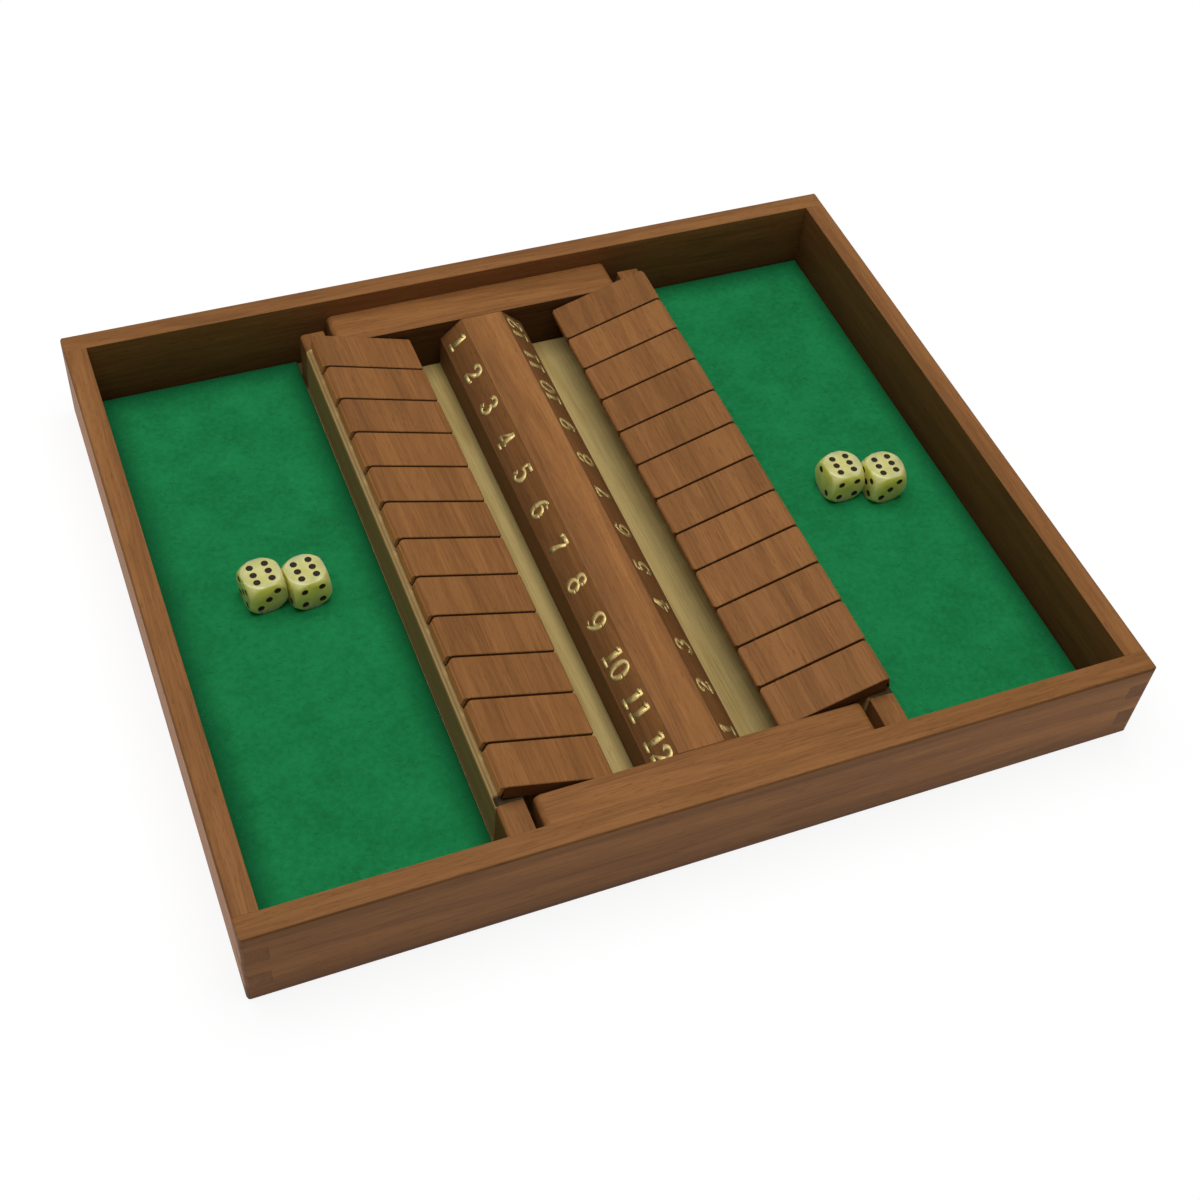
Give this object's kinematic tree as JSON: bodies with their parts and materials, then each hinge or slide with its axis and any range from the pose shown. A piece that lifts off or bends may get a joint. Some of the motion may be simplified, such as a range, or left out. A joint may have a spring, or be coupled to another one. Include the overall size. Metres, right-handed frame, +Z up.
{
  "type": "shut the box game",
  "caption": "Wooden shut the box game: shallow finger-jointed tray with felt floors, a central number ridge, facing rows of hinged wooden flaps on steel rods, and loose dice.",
  "frame": {"origin": "on the table under the middle of the box", "axes": "+X to the right along the longer side, +Y to the back along the rows of flaps, +Z up"},
  "size_m": [0.342, 0.289, 0.0395],
  "materials": {
    "wood": "satin",
    "bare_wood": "matt",
    "plywood": "matt",
    "felt": "matt",
    "steel": "satin",
    "ivory": "gloss"
  },
  "bodies": {
    "case": {"front_wall": "wood", "back_wall": "wood", "left_wall": "wood", "right_wall": "wood", "base_panel": "plywood", "felt_left": "felt", "felt_right": "felt", "end_block_front": "wood", "end_block_back": "wood", "number_ridge": "wood", "rail_left": "bare_wood", "rail_right": "bare_wood", "hinge_rod_left": "steel", "hinge_rod_right": "steel", "post_front_left": "wood", "post_front_right": "wood", "post_back_left": "wood", "post_back_right": "wood"},
    "flap_left_01": {"flap_left_01": "wood"},
    "flap_left_02": {"flap_left_02": "wood"},
    "flap_left_03": {"flap_left_03": "wood"},
    "flap_left_04": {"flap_left_04": "wood"},
    "flap_left_05": {"flap_left_05": "wood"},
    "flap_left_06": {"flap_left_06": "wood"},
    "flap_left_07": {"flap_left_07": "wood"},
    "flap_left_08": {"flap_left_08": "wood"},
    "flap_left_09": {"flap_left_09": "wood"},
    "flap_left_10": {"flap_left_10": "wood"},
    "flap_left_11": {"flap_left_11": "wood"},
    "flap_left_12": {"flap_left_12": "wood"},
    "flap_right_01": {"flap_right_01": "wood"},
    "flap_right_02": {"flap_right_02": "wood"},
    "flap_right_03": {"flap_right_03": "wood"},
    "flap_right_04": {"flap_right_04": "wood"},
    "flap_right_05": {"flap_right_05": "wood"},
    "flap_right_06": {"flap_right_06": "wood"},
    "flap_right_07": {"flap_right_07": "wood"},
    "flap_right_08": {"flap_right_08": "wood"},
    "flap_right_09": {"flap_right_09": "wood"},
    "flap_right_10": {"flap_right_10": "wood"},
    "flap_right_11": {"flap_right_11": "wood"},
    "flap_right_12": {"flap_right_12": "wood"},
    "die_1": {"die_1": "ivory"},
    "die_2": {"die_2": "ivory"},
    "die_3": {"die_3": "ivory"},
    "die_4": {"die_4": "ivory"}
  },
  "joints": [
    {"name": "flap_left_01_hinge", "type": "hinge", "parent": "case", "child": "flap_left_01", "pos_m": [-0.0403, 0.10752, 0.026], "axis": [0, 1, 0], "range_deg": [0, 147.4]},
    {"name": "flap_left_02_hinge", "type": "hinge", "parent": "case", "child": "flap_left_02", "pos_m": [-0.0403, 0.08797, 0.026], "axis": [0, 1, 0], "range_deg": [0, 147.4]},
    {"name": "flap_left_03_hinge", "type": "hinge", "parent": "case", "child": "flap_left_03", "pos_m": [-0.0403, 0.06842, 0.026], "axis": [0, 1, 0], "range_deg": [0, 147.4]},
    {"name": "flap_left_04_hinge", "type": "hinge", "parent": "case", "child": "flap_left_04", "pos_m": [-0.0403, 0.04888, 0.026], "axis": [0, 1, 0], "range_deg": [0, 147.4]},
    {"name": "flap_left_05_hinge", "type": "hinge", "parent": "case", "child": "flap_left_05", "pos_m": [-0.0403, 0.02933, 0.026], "axis": [0, 1, 0], "range_deg": [0, 147.4]},
    {"name": "flap_left_06_hinge", "type": "hinge", "parent": "case", "child": "flap_left_06", "pos_m": [-0.0403, 0.00978, 0.026], "axis": [0, 1, 0], "range_deg": [0, 147.4]},
    {"name": "flap_left_07_hinge", "type": "hinge", "parent": "case", "child": "flap_left_07", "pos_m": [-0.0403, -0.00978, 0.026], "axis": [0, 1, 0], "range_deg": [0, 147.4]},
    {"name": "flap_left_08_hinge", "type": "hinge", "parent": "case", "child": "flap_left_08", "pos_m": [-0.0403, -0.02933, 0.026], "axis": [0, 1, 0], "range_deg": [0, 147.4]},
    {"name": "flap_left_09_hinge", "type": "hinge", "parent": "case", "child": "flap_left_09", "pos_m": [-0.0403, -0.04888, 0.026], "axis": [0, 1, 0], "range_deg": [0, 147.4]},
    {"name": "flap_left_10_hinge", "type": "hinge", "parent": "case", "child": "flap_left_10", "pos_m": [-0.0403, -0.06842, 0.026], "axis": [0, 1, 0], "range_deg": [0, 147.4]},
    {"name": "flap_left_11_hinge", "type": "hinge", "parent": "case", "child": "flap_left_11", "pos_m": [-0.0403, -0.08797, 0.026], "axis": [0, 1, 0], "range_deg": [0, 147.4]},
    {"name": "flap_left_12_hinge", "type": "hinge", "parent": "case", "child": "flap_left_12", "pos_m": [-0.0403, -0.10752, 0.026], "axis": [0, 1, 0], "range_deg": [0, 147.4]},
    {"name": "flap_right_01_hinge", "type": "hinge", "parent": "case", "child": "flap_right_01", "pos_m": [0.0403, 0.10752, 0.026], "axis": [0, -1, 0], "range_deg": [0, 147.4]},
    {"name": "flap_right_02_hinge", "type": "hinge", "parent": "case", "child": "flap_right_02", "pos_m": [0.0403, 0.08797, 0.026], "axis": [0, -1, 0], "range_deg": [0, 147.4]},
    {"name": "flap_right_03_hinge", "type": "hinge", "parent": "case", "child": "flap_right_03", "pos_m": [0.0403, 0.06842, 0.026], "axis": [0, -1, 0], "range_deg": [0, 147.4]},
    {"name": "flap_right_04_hinge", "type": "hinge", "parent": "case", "child": "flap_right_04", "pos_m": [0.0403, 0.04888, 0.026], "axis": [0, -1, 0], "range_deg": [0, 147.4]},
    {"name": "flap_right_05_hinge", "type": "hinge", "parent": "case", "child": "flap_right_05", "pos_m": [0.0403, 0.02933, 0.026], "axis": [0, -1, 0], "range_deg": [0, 147.4]},
    {"name": "flap_right_06_hinge", "type": "hinge", "parent": "case", "child": "flap_right_06", "pos_m": [0.0403, 0.00978, 0.026], "axis": [0, -1, 0], "range_deg": [0, 147.4]},
    {"name": "flap_right_07_hinge", "type": "hinge", "parent": "case", "child": "flap_right_07", "pos_m": [0.0403, -0.00978, 0.026], "axis": [0, -1, 0], "range_deg": [0, 147.4]},
    {"name": "flap_right_08_hinge", "type": "hinge", "parent": "case", "child": "flap_right_08", "pos_m": [0.0403, -0.02933, 0.026], "axis": [0, -1, 0], "range_deg": [0, 147.4]},
    {"name": "flap_right_09_hinge", "type": "hinge", "parent": "case", "child": "flap_right_09", "pos_m": [0.0403, -0.04888, 0.026], "axis": [0, -1, 0], "range_deg": [0, 147.4]},
    {"name": "flap_right_10_hinge", "type": "hinge", "parent": "case", "child": "flap_right_10", "pos_m": [0.0403, -0.06842, 0.026], "axis": [0, -1, 0], "range_deg": [0, 147.4]},
    {"name": "flap_right_11_hinge", "type": "hinge", "parent": "case", "child": "flap_right_11", "pos_m": [0.0403, -0.08797, 0.026], "axis": [0, -1, 0], "range_deg": [0, 147.4]},
    {"name": "flap_right_12_hinge", "type": "hinge", "parent": "case", "child": "flap_right_12", "pos_m": [0.0403, -0.10752, 0.026], "axis": [0, -1, 0], "range_deg": [0, 147.4]},
    {"name": "die_1_lift", "type": "slide", "parent": "case", "child": "die_1", "axis": [0, 0, 1], "range_m": [0, 0.05]},
    {"name": "die_2_lift", "type": "slide", "parent": "case", "child": "die_2", "axis": [0, 0, 1], "range_m": [0, 0.05]},
    {"name": "die_3_lift", "type": "slide", "parent": "case", "child": "die_3", "axis": [0, 0, 1], "range_m": [0, 0.05]},
    {"name": "die_4_lift", "type": "slide", "parent": "case", "child": "die_4", "axis": [0, 0, 1], "range_m": [0, 0.05]}
  ]
}
